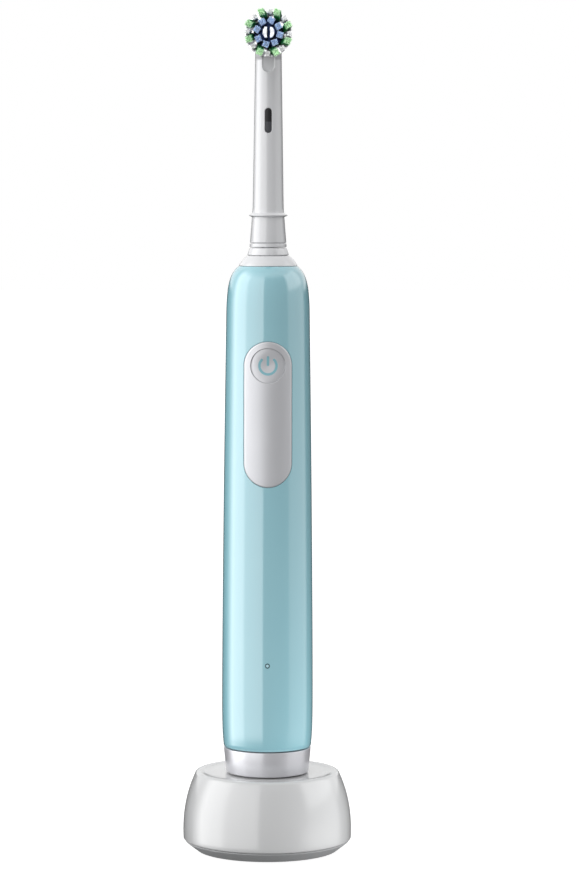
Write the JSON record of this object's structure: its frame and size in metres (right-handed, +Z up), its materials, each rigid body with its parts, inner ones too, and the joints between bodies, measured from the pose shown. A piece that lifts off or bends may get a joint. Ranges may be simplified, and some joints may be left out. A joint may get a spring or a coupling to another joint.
{
  "type": "electric toothbrush on charger",
  "caption": "Rechargeable toothbrush standing on a round inductive charger: tapered grip with a push button, thin neck and round oscillating brush head.",
  "frame": {"origin": "centre of the charger's underside, on the surface it stands on", "axes": "+Z up along the handle, -Y to the front, where the button and the bristles face, +X to the right seen from the front"},
  "size_m": [0.0542, 0.0542, 0.2693],
  "materials": {
    "white_shell": "moulded gloss",
    "aqua_shell": "moulded high gloss",
    "soft_pad": "satin soft-touch",
    "aqua_symbol": "satin translucent",
    "silver_band": "gloss silver plastic",
    "grey_base": "satin moulded",
    "dark_label": "gloss",
    "inner_plastic": "natural moulded",
    "black_plastic": "moulded",
    "rubber": "moulded rubber",
    "steel": "turned steel",
    "bronze": "sintered bronze",
    "copper": "enamelled copper winding",
    "ferrite": "sintered ferrite",
    "cell_wrap": "shrink sleeve",
    "board": "solder mask",
    "light_guide": "clear moulded",
    "bristle_green": "filament",
    "bristle_blue": "filament",
    "bristle_white": "filament"
  },
  "bodies": {
    "charger": {"charger_shell": "white_shell", "charger_base": "grey_base", "charger_board": "board", "charger_bobbin": "inner_plastic", "charger_ferrite": "ferrite", "primary_coil": "copper", "cord_grommet": "grey_base", "foot_1": "rubber", "foot_2": "rubber", "foot_3": "rubber"},
    "handle": {"handle_shell": "aqua_shell", "control_pad": "soft_pad", "base_ring": "silver_band", "bottom_cap": "white_shell", "cap_o_ring": "rubber", "receiver_bobbin": "inner_plastic", "receiver_coil": "copper", "chassis": "inner_plastic", "battery_cell": "cell_wrap", "battery_minus_tab": "steel", "battery_plus_tab": "steel", "circuit_board": "board", "switch_body": "black_plastic", "charge_led": "white_shell", "charge_lens": "light_guide", "motor_can": "steel", "motor_end_cap": "black_plastic", "motor_magnet": "ferrite", "gear_bracket": "inner_plastic", "gear_axle": "steel", "gearbox_plate": "inner_plastic", "bearing_head": "inner_plastic", "lower_bushing": "bronze", "upper_bushing": "bronze", "shoulder_cap": "white_shell", "shaft_seal": "rubber", "nose_ring": "white_shell"},
    "button": {"power_button": "soft_pad", "symbol_insert": "aqua_symbol"},
    "plunger": {"switch_plunger": "black_plastic"},
    "rotor": {"rotor": "steel", "pinion": "bronze"},
    "crank": {"crank_gear": "inner_plastic"},
    "drive": {"drive_shaft": "steel", "rocker_fork": "steel"},
    "head": {"head_neck": "white_shell", "id_ring": "white_shell", "label_plate": "dark_label", "disc_pin": "steel"},
    "link": {"link_socket": "inner_plastic", "link_rod": "steel"},
    "disc": {"bristle_disc": "white_shell", "white_bristles": "bristle_white", "green_bristles": "bristle_green", "blue_bristles": "bristle_blue", "centre_bristles": "bristle_white"}
  },
  "joints": [
    {"name": "lift_off", "type": "slide", "parent": "charger", "child": "handle", "axis": [0, 0, 1], "range_m": [0, 0.03]},
    {"name": "head_pull_off", "type": "slide", "parent": "handle", "child": "head", "axis": [0, 0, 1], "range_m": [0, 0.03]},
    {"name": "button_press", "type": "slide", "parent": "handle", "child": "button", "axis": [0, 1, 0], "range_m": [0, 0.0003], "stiffness_N_per_m": 3000},
    {"name": "plunger_travel", "type": "slide", "parent": "handle", "child": "plunger", "axis": [0, 1, 0], "range_m": [0, 0.0003]},
    {"name": "motor_spin", "type": "hinge", "parent": "handle", "child": "rotor", "pos_m": [0, -0.0015, 0.1405], "axis": [0, 0, 1], "continuous": true},
    {"name": "crank_spin", "type": "hinge", "parent": "handle", "child": "crank", "pos_m": [0, 0.0045, 0.1405], "axis": [0, 0, 1], "continuous": true},
    {"name": "shaft_swing", "type": "hinge", "parent": "handle", "child": "drive", "pos_m": [0, 0, 0.1405], "axis": [0, 0, 1], "range_deg": [-20, 20]},
    {"name": "link_swing", "type": "hinge", "parent": "head", "child": "link", "pos_m": [0, 0, 0.1942], "axis": [0, 0, 1], "range_deg": [-20, 20]},
    {"name": "disc_swing", "type": "hinge", "parent": "head", "child": "disc", "pos_m": [0, 0, 0.2619], "axis": [0, -1, 0], "range_deg": [-22.5, 22.5]}
  ],
  "couplings": [
    {"joint": "plunger_travel", "follows": "button_press", "ratio": 1},
    {"joint": "crank_spin", "follows": "motor_spin", "ratio": -0.5},
    {"joint": "link_swing", "follows": "shaft_swing", "ratio": 1},
    {"joint": "disc_swing", "follows": "shaft_swing", "ratio": 1.125}
  ]
}
